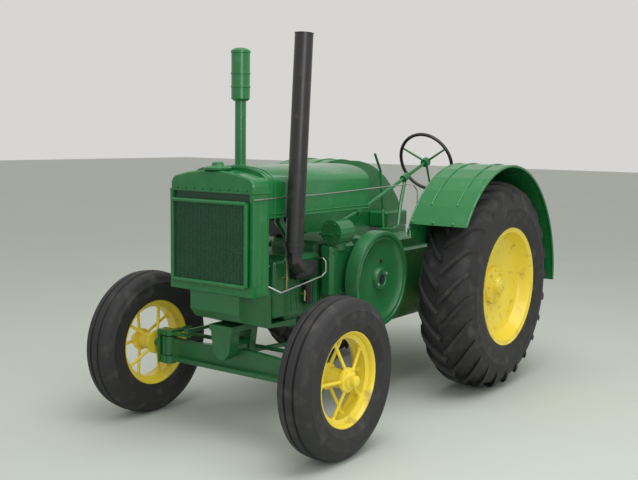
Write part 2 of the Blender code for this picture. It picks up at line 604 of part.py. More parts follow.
def drivers_place():
    box("platform", (-0.459, aft(0.245), 0.615), (0.459, aft(0.98), 0.645), GREEN)
    for side, sign in SIDES:
        fender(side, sign)
    pan = [(0.0, 0.0), (0.13, 0.006), (0.19, 0.035), (0.215, 0.085), (0.209, 0.087), (0.183, 0.041),
           (0.125, 0.012), (0.0, 0.006)]
    turned("seat", pan[::-1], (0, aft(0.90), 1.06), (0, 0, 1), GREEN, 20)
    plate("seat_spring", [(aft(0.2403), 0.70), (aft(0.2403), 0.75), (aft(0.34), 0.76), (aft(0.86), 1.0597),
                                   (aft(0.95), 1.0597), (aft(0.95), 1.048), (aft(0.87), 1.048), (aft(0.36), 0.745),
                                   (aft(0.36), 0.70)], SIDE_PLANE, -0.035, 0.035, GREEN)
    box("toolbox", (-0.4599, aft(0.30), 0.95), (-0.30, aft(0.60), 1.07), GREEN, 0.012)
    drawbar = box("drawbar", (-0.04, aft(0.2403), 0.40), (0.04, aft(1.1355), 0.425), GREEN)
    strut = box("drawbar_hanger", (-0.06, aft(0.2403), 0.40), (0.06, aft(0.30), 0.614), GREEN)
    join(drawbar, strut)
    tube("clutch_lever", [(-0.20, aft(0.10), 0.9005), (-0.20, aft(0.10), 0.93), (-0.25, aft(0.16), 1.10),
                          (-0.25, aft(0.12), 1.38), (-0.25, aft(0.04), 1.50)], 0.009, GREEN)
    tube("gear_lever", [(0.06, aft(0.0), 0.9605), (0.06, aft(0.0), 0.99), (0.06, aft(0.10), 1.12),
                        (0.10, aft(0.20), 1.28)], 0.009, GREEN)


def shutter_rod():
    """Thin control rod along the hood's left side."""
    tube("shutter_rod", [(0.2918, aft(-1.94), 1.30), (0.2918, aft(-1.3), 1.305), (0.2918, aft(-0.44), 1.325),
                         (0.15, aft(-0.10), 1.30), (0.15, aft(-0.05), 1.26), (0.15, aft(-0.05), 0.9605)], 0.0033, STEEL)


# ---------------------------------------------------------------- assembly
main_case()
cylinder_block()
front_support()
front_axle()
radius_rod()
radiator()
hood()
engine_fittings()
fan_bracket()
drivers_place()
shutter_rod()
steering_post()
wheel_piece, lower_piece, arm_piece = steering()
pivot("steering_wheel_axis", WHEEL_HUB, [wheel_piece])
pivot("lower_shaft_axis", UPPER_END, [lower_piece])
pivot("pitman_axis", CROSS_SHAFT, [arm_piece])
crank_pieces, crank_place = crank()
pivot("crankshaft_axis", crank_place, crank_pieces)
fan_piece, fan_place = fan()
pivot("fan_axis", fan_place, [fan_piece])
steer_axes = {}
for side, sign in SIDES:
    rear_axle_housing(side, sign)
    rear_pieces, rear_place = rear_wheel(side, sign)
    pivot("rear_wheel_axis_" + side, rear_place, rear_pieces)
    knuckle_piece, knuckle_place = knuckle(side, sign)
    steer_axes[side] = pivot("kingpin_axis_" + side, knuckle_place, [knuckle_piece])
    front_pieces, front_place = front_wheel(side, sign)
    pivot("front_wheel_axis_" + side, front_place, front_pieces, steer_axes[side])

UP, ACROSS = (0, 0, 1), (1, 0, 0)
tie_ends = [(sign * KINGPIN_X, FRONT_AXLE_Y + STEER_ARM, 0.456) for side, sign in SIDES]
tie_eye = (UP, 0.019, 0.014, 0.0095)
tie_rod = rod_with_eyes("tie_rod", *tie_ends, 0.012, (tie_eye, tie_eye), GREEN)
pivot("tie_rod_axis", tie_ends[0], [tie_rod], steer_axes["left"])
link_x = KINGPIN_X - DRAG_ARM
link_ends = [(-link_x, FRONT_AXLE_Y, 0.512), (-link_x, CROSS_SHAFT.y, CROSS_SHAFT.z - PITMAN_LENGTH)]
link_eyes = ((UP, 0.018, 0.012, 0.0095), (ACROSS, 0.018, 0.011, 0.009))
drag_link = rod_with_eyes("drag_link", *link_ends, 0.011, link_eyes, GREEN)
pivot("drag_link_axis", link_ends[0], [drag_link], steer_axes["right"])
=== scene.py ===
"""Dressed model of a two-cylinder standard-tread farm tractor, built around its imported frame.

Metres, +Z up, floor at z = 0, nose towards -Y, the tractor's left side is +X.
"""

from __future__ import annotations

import json
import logging
import math
from dataclasses import dataclass, field
from enum import Enum

import bmesh
import bpy
import numpy as np
from mathutils import Matrix, Vector

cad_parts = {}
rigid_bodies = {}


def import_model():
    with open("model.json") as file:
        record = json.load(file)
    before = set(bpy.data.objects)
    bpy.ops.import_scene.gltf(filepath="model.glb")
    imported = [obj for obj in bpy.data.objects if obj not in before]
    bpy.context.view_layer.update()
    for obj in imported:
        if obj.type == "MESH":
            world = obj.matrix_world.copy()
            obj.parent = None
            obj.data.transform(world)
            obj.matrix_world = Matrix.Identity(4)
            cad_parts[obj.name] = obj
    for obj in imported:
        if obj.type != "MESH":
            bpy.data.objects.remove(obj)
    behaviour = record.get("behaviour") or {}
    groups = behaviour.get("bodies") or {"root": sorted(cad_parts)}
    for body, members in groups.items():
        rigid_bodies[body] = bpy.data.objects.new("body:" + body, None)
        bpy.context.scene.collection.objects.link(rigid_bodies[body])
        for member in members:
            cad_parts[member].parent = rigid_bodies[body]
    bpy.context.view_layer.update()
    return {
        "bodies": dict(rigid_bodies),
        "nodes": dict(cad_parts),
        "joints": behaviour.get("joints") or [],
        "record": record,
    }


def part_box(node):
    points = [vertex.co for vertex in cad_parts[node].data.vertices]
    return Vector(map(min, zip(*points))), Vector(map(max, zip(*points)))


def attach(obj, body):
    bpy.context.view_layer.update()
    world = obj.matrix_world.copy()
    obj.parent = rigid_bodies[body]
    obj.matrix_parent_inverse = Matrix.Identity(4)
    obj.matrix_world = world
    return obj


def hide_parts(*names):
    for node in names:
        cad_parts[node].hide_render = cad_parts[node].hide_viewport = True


LOG = logging.getLogger("tractor")
Array = np.ndarray
Profile = list[tuple[float, float]]
SIDES = (("left", 1.0), ("right", -1.0))
SHARP_DEGREES = 38.0


class Kind(Enum):
    """What a finish is made of."""

    ENAMEL = "enamel"
    RUBBER = "rubber"
    METAL = "metal"


@dataclass(frozen=True)
class Finish:
    """A procedural finish: a main colour, a worn or dusty second one, and its grain.

    Fields:
        share: how much of the surface the second colour takes, 0 to 1. mottle: slow change of tone, 0 to 1.
        patch: patches per metre of the second colour. grain: bumps per metre.
    """

    name: str
    slot: str
    kind: Kind
    colour: tuple[float, float, float]
    worn: tuple[float, float, float]
    roughness: float = 0.35
    share: float = 0.2
    patch: float = 9.0
    grain: float = 160.0
    bump: float = 0.08
    mottle: float = 0.16

    def material(self) -> bpy.types.Material:
        """The Blender material of this finish, made once.

        Returns:
            Noise on Object coordinates mixes the two colours, varies the roughness and raises the grain.
        """
        made = bpy.data.materials.get(self.name)
        if made:
            return made
        made = bpy.data.materials.new(self.name)
        made.use_nodes = True
        nodes, links = made.node_tree.nodes, made.node_tree.links
        shader = nodes["Principled BSDF"]
        shader.inputs["Metallic"].default_value = 1.0 if self.kind is Kind.METAL else 0.0
        if self.kind is Kind.ENAMEL:
            shader.inputs["Coat Weight"].default_value = 0.25
            shader.inputs["Coat Roughness"].default_value = 0.12
        place = nodes.new("ShaderNodeTexCoord")

        def noise(scale: float, detail: float) -> bpy.types.Node:
            """A noise texture on the piece's own coordinates."""
            node = nodes.new("ShaderNodeTexNoise")
            node.inputs["Scale"].default_value = scale
            node.inputs["Detail"].default_value = detail
            links.new(place.outputs["Object"], node.inputs["Vector"])
            return node

        wear = noise(self.patch, 8.0)
        ramp = nodes.new("ShaderNodeValToRGB")
        ramp.color_ramp.elements[0].position = 0.62 - 0.3 * self.share
        ramp.color_ramp.elements[1].position = 0.80 - 0.2 * self.share
        links.new(wear.outputs["Fac"], ramp.inputs["Fac"])
        tone = noise(1.7, 2.0)
        shade = nodes.new("ShaderNodeMapRange")
        shade.inputs["To Min"].default_value = 1.0 - self.mottle
        shade.inputs["To Max"].default_value = 1.0 + self.mottle
        links.new(tone.outputs["Fac"], shade.inputs["Value"])
        base = nodes.new("ShaderNodeMix")
        base.data_type = "RGBA"
        base.inputs["A"].default_value = (*self.colour, 1.0)
        base.inputs["B"].default_value = (*self.worn, 1.0)
        links.new(ramp.outputs["Color"], base.inputs["Factor"])
        varied = nodes.new("ShaderNodeVectorMath")
        varied.operation = "SCALE"
        links.new(base.outputs["Result"], varied.inputs[0])
        links.new(shade.outputs["Result"], varied.inputs["Scale"])
        links.new(varied.outputs["Vector"], shader.inputs["Base Color"])
        rough = nodes.new("ShaderNodeMapRange")
        rough.inputs["To Min"].default_value = max(0.05, self.roughness - 0.08)
        rough.inputs["To Max"].default_value = min(1.0, self.roughness + 0.18)
        links.new(wear.outputs["Fac"], rough.inputs["Value"])
        links.new(rough.outputs["Result"], shader.inputs["Roughness"])
        fine = noise(self.grain, 3.0)
        raised = nodes.new("ShaderNodeBump")
        raised.inputs["Strength"].default_value = self.bump
        raised.inputs["Distance"].default_value = 0.002
        links.new(fine.outputs["Fac"], raised.inputs["Height"])
        links.new(raised.outputs["Normal"], shader.inputs["Normal"])
        return made


GREEN = Finish("green_enamel", "green_paint", Kind.ENAMEL, (0.010, 0.150, 0.036), (0.030, 0.19, 0.060), 0.22)
CAST = Finish("green_on_casting", "green_paint", Kind.ENAMEL, (0.009, 0.125, 0.032), (0.022, 0.09, 0.034),
              0.34, 0.35, 22.0, 330.0, 0.35)
DARK = Finish("screen_green", "green_screen", Kind.ENAMEL, (0.006, 0.050, 0.020), (0.012, 0.07, 0.03), 0.5)
YELLOW = Finish("yellow_enamel", "yellow_paint", Kind.ENAMEL, (0.84, 0.66, 0.045), (0.45, 0.33, 0.06), 0.34,
                0.12, 14.0, 200.0, 0.12)
RUBBER = Finish("tyre_rubber", "tyre", Kind.RUBBER, (0.018, 0.018, 0.019), (0.055, 0.052, 0.048), 0.62,
                0.30, 12.0, 420.0, 0.3)
# Black paint on the exhaust pipe and the steering rim; the same black is painted shade in the flywheel's
# holes and on the parts under the hood.
BLACK = Finish("black_paint_and_painted_shade", "black_enamel", Kind.ENAMEL, (0.012, 0.012, 0.013), (0.04, 0.03, 0.024),
               0.36, 0.25, 16.0, 260.0, 0.2)
STEEL = Finish("bare_steel", "bright_steel", Kind.METAL, (0.56, 0.56, 0.54), (0.33, 0.30, 0.27), 0.3)
BRASS = Finish("brass_fitting", "bright_steel", Kind.METAL, (0.72, 0.55, 0.26), (0.45, 0.32, 0.16), 0.32)


# ------------------------------------------------------------------ surfaces
def unit(vector: Array) -> Array:
    """The vectors of the last axis brought to length one."""
    return vector / np.linalg.norm(vector, axis=-1, keepdims=True)


def across(axis: Array) -> tuple[Array, Array]:
    """Two unit directions at right angles to each axis and to each other."""
    axis = np.asarray(axis, float)
    lean = np.where(np.abs(axis[..., 2:3]) < 0.9, [0.0, 0.0, 1.0], [1.0, 0.0, 0.0])
    first = unit(np.cross(axis, lean))
    return first, np.cross(axis, first)


@dataclass
class Shells:
    """Closed surfaces gathered into one mesh."""

    points: list[Array] = field(default_factory=list)
    faces: list[Array] = field(default_factory=list)
    count: int = 0

    def grid(self, points: Array, wrap_rows: bool = False) -> Shells:
        """Adds a grid of points, joined row to row, each row closed on itself.

        Args:
            points: places, rows x columns x 3.
            wrap_rows: also joins the last row to the first.

        Returns:
            This object, so that calls can follow one another.
        """
        rows, columns = points.shape[:2]
        index = np.arange(rows * columns).reshape(rows, columns) + self.count
        after = np.roll(index, -1, axis=1)
        if wrap_rows:
            below, below_after = np.roll(index, -1, axis=0), np.roll(after, -1, axis=0)
        else:
            below, below_after = index[1:], after[1:]
            index, after = index[:-1], after[:-1]
        self.faces.append(np.stack([index, after, below_after, below], axis=-1).reshape(-1, 4))
        self.points.append(points.reshape(-1, 3))
        self.count += rows * columns
        return self

    def turned(self, profile: Profile, centre: Array, axis: Array, steps: int = 64) -> Shells:
        """Adds a turned body: centre + axis * height + radius * (cos t, sin t) across the axis.

        Args:
            profile: (radius, height) rows. It closes on itself unless it starts on the axis.
            centre: where height is zero. axis: the direction of height. steps: facets round.

        Returns:
            This object.
        """
        rows = np.array(profile, float)
        axis = unit(np.asarray(axis, float))
        first, second = across(axis)
        turn = np.linspace(0.0, math.tau, steps, endpoint=False)
        ring = np.cos(turn)[:, None] * first + np.sin(turn)[:, None] * second
        made = np.asarray(centre, float) + rows[:, 1, None, None] * axis + rows[:, 0, None, None] * ring[None]
        return self.grid(made, wrap_rows=rows[0, 0] > 0)

    def tube(self, path: Array, radius: float | Array, sides: int = 12, closed: bool = False) -> Shells:
        """Adds a pipe: each path point plus a circle square to the path there, with its ends closed.

        Args:
            path: places along the middle. radius: one value or one for each place.
            sides: facets round. closed: the path is a loop.

        Returns:
            This object.
        """
        path = np.asarray(path, float)
        wide = np.broadcast_to(np.asarray(radius, float), (len(path),))
        if closed:
            along = unit(np.roll(path, -1, axis=0) - np.roll(path, 1, axis=0))
        else:
            along = unit(np.gradient(path, axis=0))
            path = np.concatenate([path[:1], path, path[-1:]])
            along = np.concatenate([along[:1], along, along[-1:]])
            wide = np.concatenate([[0.0], wide, [0.0]])
        # The direction in which the path is thinnest keeps the rings from twisting.
        spread = np.linalg.svd(path - path.mean(0))[2][2]
        first = unit(np.cross(along, spread + 1e-4))
        second = np.cross(along, first)
        turn = np.linspace(0.0, math.tau, sides, endpoint=False)
        ring = np.cos(turn)[None, :, None] * first[:, None] + np.sin(turn)[None, :, None] * second[:, None]
        return self.grid(path[:, None] + wide[:, None, None] * ring, wrap_rows=closed)

    def rod(self, start: Array, end: Array, radius: float, sides: int = 12) -> Shells:
        """Adds a straight round bar from start to end."""
        return self.tube(np.linspace(start, end, 2), radius, sides)

    def bolt(self, place: Array, axis: Array, radius: float = 0.010, height: float = 0.007) -> Shells:
        """Adds a hexagon head that stands on a face."""
        foot = -0.002
        rows = [(0.0, foot), (radius, foot), (radius, 0.8 * height), (0.8 * radius, height), (0.0, height)]
        return self.turned(rows, place, axis, 6)

    def slab(self, outline: Array, plane: str, low: float, high: float, edge: float = 0.0) -> Shells:
        """Adds a flat outline given thickness, with its rim eased by `edge`.

        Args:
            outline: (u, v) places seen from the middle without overlap. plane: "x", "y" or "z", the thin way.
            low: where the thickness starts. high: where it ends. edge: how far the rim is eased.

        Returns:
            This object.
        """
        flat = np.asarray(outline, float)
        middle = flat.mean(0)
        reach = np.linalg.norm(flat - middle, axis=1).mean()
        levels = [(0.0, low), (1 - edge / reach, low), (1.0, low + edge), (1.0, high - edge),
                  (1 - edge / reach, high), (0.0, high)]
        rows = []
        for scale, level in levels:
            spot = middle + (flat - middle) * scale
            part = np.full(len(flat), level)
            order = {"x": (part, spot[:, 0], spot[:, 1]), "y": (spot[:, 0], part, spot[:, 1]),
                     "z": (spot[:, 0], spot[:, 1], part)}[plane]
            rows.append(np.stack(order, axis=-1))
        return self.grid(np.stack(rows))

    def brick(self, low: Array, high: Array, edge: float = 0.003) -> Shells:
        """Adds a block between two corners with eased edges."""
        outline = [(low[0], low[1]), (high[0], low[1]), (high[0], high[1]), (low[0], high[1])]
        return self.slab(np.array(outline), "z", low[2], high[2], edge)

    def piece(self, name: str, finish: Finish, body: str, replaces: tuple[str, ...] = ()) -> bpy.types.Object:
        """Makes the mesh object, dresses it and lets it ride on a body.

        Args:
            name: the piece's name. finish: its material. body: what it moves with.
            replaces: frame nodes that it stands for.

        Returns:
            The object, at the origin, with doubles merged and its faces pointing outwards.
        """
        data = bpy.data.meshes.new(name)
        data.from_pydata(np.concatenate(self.points), [], np.concatenate(self.faces).tolist())
        shape = bmesh.new()
        shape.from_mesh(data)
        bmesh.ops.remove_doubles(shape, verts=shape.verts, dist=1e-6)
        bmesh.ops.dissolve_degenerate(shape, edges=shape.edges, dist=1e-7)
        bmesh.ops.recalc_face_normals(shape, faces=shape.faces)
        shape.to_mesh(data)
        shape.free()
        data.shade_smooth()
        data.set_sharp_from_angle(angle=math.radians(SHARP_DEGREES))
        data.materials.append(finish.material())
        made = bpy.data.objects.new(name, data)
        bpy.context.scene.collection.objects.link(made)
        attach(made, body)
        if replaces:
            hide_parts(*replaces)
        LOG.info("%s: %d faces on %s", name, len(data.polygons), body)
        return made


def corners(node: str) -> tuple[Array, Array, Array]:
    """Lowest corner, highest corner and middle of a frame node."""
    low, high = (np.array(corner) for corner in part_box(node))
    return low, high, (low + high) / 2


def circle(count: int, start: float = 0.0) -> list[float]:
    """Evenly spaced angles round a full turn."""
    return [start + math.tau * number / count for number in range(count)]


# ------------------------------------------------------------------ wheels
# Section of a tread bar: (share of its width from the middle, height against its top).
BAR_SECTION = ((-0.62, -0.045), (-0.5, -0.002), (-0.44, 0.0), (0.44, 0.0), (0.5, -0.002), (0.62, -0.045))


@dataclass
class RearWheel:
    """Wide tyre with two rows of slanted bars on a dished steel disc."""

    side: str
    sign: float
    bars: int = 24
    bar_sweep: float = 0.30
    bar_width: float = 0.034

    def __post_init__(self) -> None:
        """Takes the wheel's place from its frame nodes."""
        self.body = f"rear_wheel_{self.side}"
        _, high, self.centre = corners(f"rear_tyre_{self.side}")
        self.radius = high[2] - self.centre[2]
        self.axis = np.array([self.sign, 0.0, 0.0])

    def crown(self, offset: Array) -> Array:
        """Radius of the bars' tops at an offset from the tyre's middle: flat, then falling outwards."""
        drop = np.interp(np.abs(offset), [0.0, 0.04, 0.105, 0.152, 0.176], [0.0, 0.0, 0.010, 0.040, 0.092])
        return self.radius - drop

    def build_tyre(self) -> None:
        """Carcass turned from its section, and bars laid along slanting lines on it."""
        half = [(0.3815, 0.150), (0.3835, 0.166), (0.400, 0.171), (0.420, 0.176), (0.450, 0.1795),
                (0.500, 0.1795), (0.506, 0.1815), (0.512, 0.1790), (0.550, 0.173), (0.590, 0.160),
                (0.622, 0.130), (0.638, 0.080), (0.643, 0.0)]
        rows = half + [(radius, -height) for radius, height in reversed(half[:-1])]
        shells = Shells().turned(rows, self.centre, self.axis, 96)
        along = np.linspace(0.0, 1.0, 9)
        for way in (1.0, -1.0):
            offset = way * (0.004 + 0.171 * along**0.85)
            top = self.crown(offset)
            for start in circle(self.bars, 0.0 if way > 0 else math.pi / self.bars):
                middle = start - self.bar_sweep * (1 - along) ** 1.1
                spread = self.bar_width / self.radius
                ring = []
                for side_step, fall in BAR_SECTION:
                    angle = middle + spread * side_step
                    reach = top + fall
                    ring.append(np.stack([self.centre[0] + self.sign * offset,
                                          self.centre[1] + reach * np.sin(angle),
                                          self.centre[2] + reach * np.cos(angle)], axis=-1))
                grid = np.stack(ring, axis=1)
                ends = [np.repeat(grid[row].mean(0)[None], grid.shape[1], axis=0)[None] for row in (0, -1)]
                shells.grid(np.concatenate([ends[0], grid, ends[1]]))
        shells.piece(f"rear_tyre_tread_{self.side}", RUBBER, self.body, (f"rear_tyre_{self.side}",))

    def build_disc(self) -> None:
        """Rim and dished disc in one turned body, the hub, its bolts and the axle's end."""
        disc = [(0.0, 0.046), (0.145, 0.046), (0.165, 0.052), (0.235, 0.060), (0.252, 0.072),
                (0.300, 0.072), (0.325, 0.082), (0.341, 0.110), (0.347, 0.150), (0.352, 0.160),
                (0.372, 0.163), (0.380, 0.168), (0.3815, 0.160), (0.376, 0.150), (0.374, 0.10),
                (0.340, 0.04), (0.340, -0.06), (0.374, -0.12), (0.3815, -0.160), (0.380, -0.168),
                (0.352, -0.160), (0.345, -0.12), (0.325, -0.05), (0.318, 0.03), (0.290, 0.055),
                (0.145, 0.028), (0.0, 0.028)]
        shells = Shells().turned(disc, self.centre, self.axis, 96)
        hub = [(0.0, 0.116), (0.030, 0.116), (0.034, 0.110), (0.050, 0.110), (0.056, 0.100), (0.062, 0.080),
               (0.090, 0.068), (0.118, 0.064), (0.122, 0.058), (0.122, 0.02), (0.07, -0.02), (0.07, -0.19),
               (0.0, -0.19)]
        shells.turned(hub, self.centre, self.axis, 48)
        for angle in circle(8):
            way = np.array([0.0, math.cos(angle), math.sin(angle)])
            shells.bolt(self.centre + self.axis * 0.064 + way * 0.098, self.axis, 0.013, 0.012)
            shells.bolt(self.centre + self.axis * 0.072 + way * 0.277, self.axis, 0.010, 0.008)
        shells.piece(f"rear_disc_{self.side}", YELLOW, self.body, (f"rear_wheel_{self.side}",))


@dataclass
class FrontWheel:
    """Ribbed tyre on a rim laced with round spokes to a ribbed hub."""

    side: str
    sign: float
    spokes: int = 10

    def __post_init__(self) -> None:
        """Takes the wheel's place from its frame nodes."""
        self.body = f"front_wheel_{self.side}"
        _, high, self.centre = corners(f"front_tyre_{self.side}")
        self.radius = high[2] - self.centre[2]
        self.axis = np.array([self.sign, 0.0, 0.0])

    def build_tyre(self) -> None:
        """Tyre turned from a section with three ribs, two grooves and sidewall rings."""
        top = self.radius
        half = [(0.2465, 0.060), (0.2475, 0.0735), (0.256, 0.080), (0.262, 0.085), (0.285, 0.0955),
                (0.290, 0.0985), (0.296, 0.0972), (0.320, 0.0995), (0.348, 0.0980), (0.352, 0.0990),
                (0.358, 0.0955), (0.378, 0.086), (0.384, 0.084), (0.392, 0.078), (top - 0.012, 0.069),
                (top - 0.008, 0.064), (top - 0.003, 0.036), (top - 0.005, 0.033), (top - 0.016, 0.030),
                (top - 0.016, 0.022), (top - 0.003, 0.019), (top - 0.0005, 0.016), (top, 0.0)]
        rows = half + [(radius, -height) for radius, height in reversed(half[:-1])]
        shells = Shells().turned(rows, self.centre, self.axis, 96)
        shells.piece(f"front_tyre_ribbed_{self.side}", RUBBER, self.body, (f"front_tyre_{self.side}",))

    def build_wheel(self) -> None:
        """Drop-centre rim, spokes from two hub flanges, cast hub with a screwed cap."""
        half = [(0.2455, 0.072), (0.2455, 0.066), (0.236, 0.060), (0.233, 0.040), (0.212, 0.030)]
        inside = [(0.206, 0.033), (0.226, 0.044), (0.229, 0.062), (0.240, 0.073)]
        rim = half + [(radius, -height) for radius, height in reversed(half)]
        rim += [(radius, -height) for radius, height in reversed(inside)] + inside
        shells = Shells().turned(rim, self.centre, self.axis, 96)
        hub = [(0.0, 0.122), (0.020, 0.122), (0.027, 0.118), (0.030, 0.092), (0.040, 0.086), (0.044, 0.074),
               (0.062, 0.070), (0.064, 0.054), (0.046, 0.046), (0.044, 0.02), (0.050, 0.0), (0.046, -0.03),
               (0.052, -0.048), (0.068, -0.054), (0.068, -0.068), (0.0, -0.068)]
        shells.turned(hub, self.centre, self.axis, 48)
        for number, angle in enumerate(circle(self.spokes)):
            way = np.array([0.0, math.cos(angle), math.sin(angle)])
            flange = self.axis * (0.060 if number % 2 else -0.060)
            shells.rod(self.centre + flange + way * 0.05, self.centre + flange * 0.3 + way * 0.214, 0.009)
            shells.turned([(0.0, -0.004), (0.016, -0.004), (0.012, 0.010), (0.0, 0.010)],
                          self.centre + flange * 0.3 + way * 0.206, -way, 12)
        for angle in circle(6):
            way = np.array([0.0, math.cos(angle), math.sin(angle)])
            shells.bolt(self.centre + self.axis * 0.071 + way * 0.053, self.axis, 0.006, 0.004)
        shells.piece(f"front_spoked_wheel_{self.side}", YELLOW, self.body, (f"front_wheel_{self.side}",))


# ------------------------------------------------------------------ radiator and hood
@dataclass
class Radiator:
    """Cast tanks and ribbed side columns round a woven screen, with a filler cap on top."""

    wire: float = 0.0016
    pitch: float = 0.0095

    def build_screen(self) -> None:
        """Woven wire: two sets of thin bars crossing inside a rounded frame."""
        low, high, _ = corners("radiator_screen")
        front = low[1] + 0.010
        shells = Shells()
        for place in np.arange(low[0] + 0.018, high[0] - 0.017, self.pitch):
            shells.rod((place, front, low[2] + 0.012), (place, front, high[2] - 0.012), self.wire, 4)
        for place in np.arange(low[2] + 0.018, high[2] - 0.017, self.pitch):
            shells.rod((low[0] + 0.012, front + 0.002, place), (high[0] - 0.012, front + 0.002, place),
                       self.wire, 4)
        shells.piece("screen_wires", DARK, "chassis")
        ring = [(low[0] + 0.011, low[2] + 0.011), (high[0] - 0.011, low[2] + 0.011),
                (high[0] - 0.011, high[2] - 0.011), (low[0] + 0.011, high[2] - 0.011)]
        frame = Shells()
        for (x_1, z_1), (x_2, z_2) in zip(ring, ring[1:] + ring[:1]):
            frame.rod((x_1, low[1] + 0.0115, z_1), (x_2, low[1] + 0.0115, z_2), 0.011, 16)
        frame.brick((low[0] + 0.005, high[1] - 0.006, low[2] + 0.005),
                    (high[0] - 0.005, high[1], high[2] - 0.005))
        frame.piece("screen_frame", GREEN, "chassis", ("radiator_screen",))

    def build_trim(self) -> None:
        """Ribs on the side columns, the flange under the top tank and the filler cap with its knob."""
        low, high, _ = corners("radiator_frame")
        ribs = Shells()
        for _, sign in SIDES:
            for depth, radius in ((0.030, 0.013), (0.075, 0.015), (0.112, 0.009)):
                place = sign * (high[0] - radius + 0.002)
                ribs.rod((place, low[1] + depth, low[2] + 0.02), (place, low[1] + depth, high[2] - 0.006),
                         radius, 16)
        tank_low, tank_high, _ = corners("radiator_top_tank")
        ribs.brick((tank_low[0] - 0.003, tank_low[1] - 0.003, tank_low[2] - 0.001),
                   (tank_high[0] + 0.003, tank_high[1], tank_low[2] + 0.009), 0.002)
        for place in np.linspace(-0.24, 0.24, 9):
            ribs.bolt((place, tank_low[1] - 0.003, tank_low[2] + 0.016), (0, -1, 0), 0.006, 0.004)
        ribs.piece("radiator_ribs", GREEN, "chassis")
        low, high, middle = corners("radiator_cap")
        base = np.array([middle[0], middle[1], low[2]])
        cap = [(0.0, 0.0), (0.072, 0.0), (0.075, 0.004), (0.075, 0.011), (0.066, 0.018), (0.035, 0.022),
               (0.031, 0.030), (0.031, 0.036), (0.024, 0.041), (0.0, 0.042)]
        Shells().turned(cap, base, (0, 0, 1), 48).piece("filler_cap", GREEN, "chassis", ("radiator_cap",))


@dataclass
class Hood:
    """Arched sheet-metal cover with a seam band, beads along the bottom and rivets."""

    proud: float = 0.0035

    def arch(self, half: float, low: float, top: float, count: int = 40) -> Array:
        """Outline over the hood: a flattened arch, |x/half|^5 + rise^2 = 1 above the straight sides.

        Args:
            half: half width. low: bottom. top: crown. count: points along the arch.

        Returns:
            (x, z) places from the right bottom over the crown to the left bottom.
        """
        spring = top - 0.082
        x = -half * np.cos(np.linspace(0.0, math.pi, count))
        z = spring + (top - spring) * np.maximum(0.0, 1 - np.abs(x / half) ** 3.4) ** 0.62
        return np.concatenate([[(-half, low)], np.stack([x, z], axis=-1), [(half, low)]])

    def build(self) -> None:
        """The cover with rounded ends, its front seam, its bottom beads and its fastening studs."""
        low, high, _ = corners("hood")
        shells = Shells().slab(self.arch(high[0], low[2], high[2]), "y", low[1], high[1], 0.004)
        shells.piece("hood_sheet", GREEN, "chassis", ("hood",))
        trim = Shells()
        for back, width in ((0.012, 0.010), (0.050, 0.006)):
            line = self.arch(high[0] + self.proud, low[2], high[2] + self.proud)
            trim.slab(line, "y", low[1] + back, low[1] + back + width, 0.002)
        for _, sign in SIDES:
            for rise, radius in ((0.006, 0.005), (0.024, 0.0035)):
                edge = sign * (high[0] + 0.0005)
                start, end = (edge, low[1] + 0.01, low[2] + rise), (edge, high[1] - 0.004, low[2] + rise)
                trim.rod(start, end, radius, 12)
            for place in np.linspace(low[1] + 0.10, high[1] - 0.06, 6):
                trim.turned([(0.0, -0.001), (0.006, -0.001), (0.005, 0.002), (0.0, 0.003)],
                            (sign * high[0], place, low[2] + 0.042), (sign, 0, 0), 12)
        trim.piece("hood_beads", GREEN, "chassis")


# ------------------------------------------------------------------ engine
@dataclass
class Stacks:
    """Exhaust pipe on the left and air intake with its pre-cleaner on the right."""

    exhaust_radius: float = 0.048
    foot: float = 0.03
    band: float = 0.012

    def build_exhaust(self) -> None:
        """Sweeps the leaning pipe, with a clamp at its foot and a rolled mouth."""
        low, high, _ = corners("exhaust_stack")
        reach = self.exhaust_radius
        base = np.array([low[0] + reach, low[1] + reach, low[2]])
        top = np.array([high[0] - reach, high[1] - reach, high[2] - 0.001])
        foot = np.linspace(base, base + (0, 0, self.foot), 3)
        path = np.concatenate([foot, np.linspace(base + (0, 0, self.foot + 0.02), top, 24)])
        Shells().tube(path, reach, 48).piece("exhaust_pipe", BLACK, "chassis", ("exhaust_stack",))
        clamp = Shells().tube([path[2], path[3]], reach + 0.006, 48)
        mouth = top - unit(top - path[-2]) * 0.004
        clamp.tube([mouth, mouth + unit(top - path[-2]) * 0.004], reach + 0.0015, 48)
        clamp.piece("exhaust_clamp", BLACK, "chassis")

    def build_intake(self) -> None:
        """Turns the intake pipe with its foot flange, and the pre-cleaner with two bands and a lip."""
        low, high, middle = corners("air_stack")
        radius = (high[0] - low[0]) / 2
        x, y = middle[:2]
        pipe = Shells().rod((x, y, low[2] - 0.01), (x, y, high[2]), radius, 40)
        flange = [(0.0, 0.0), (radius + 0.016, 0.0), (radius + 0.014, 0.010), (radius + 0.002, 0.014),
                  (0.0, 0.014)]
        pipe.turned(flange, (x, y, low[2] - 0.004), (0, 0, 1), 40)
        pipe.piece("air_pipe", GREEN, "chassis", ("air_stack",))
        low, high, middle = corners("pre_cleaner")
        reach, tall = (high[0] - low[0]) / 2, high[2] - low[2]
        inset = reach - 0.003
        rows = [(0.0, 0.0), (reach - 0.016, 0.0), (inset, 0.012)]
        for level in (tall * 0.25, tall * 0.5):
            rows += [(inset, level), (reach, level + 0.002), (reach, level + self.band - 0.002),
                     (inset, level + self.band)]
        rows += [(inset, tall - 0.030), (reach, tall - 0.028), (reach, tall - 0.016),
                 (reach - 0.012, tall - 0.006), (reach - 0.03, tall), (0.0, tall)]
        Shells().turned(rows, (middle[0], middle[1], low[2]), (0, 0, 1), 56).piece(
            "air_cleaner_bowl", GREEN, "chassis", ("pre_cleaner",))


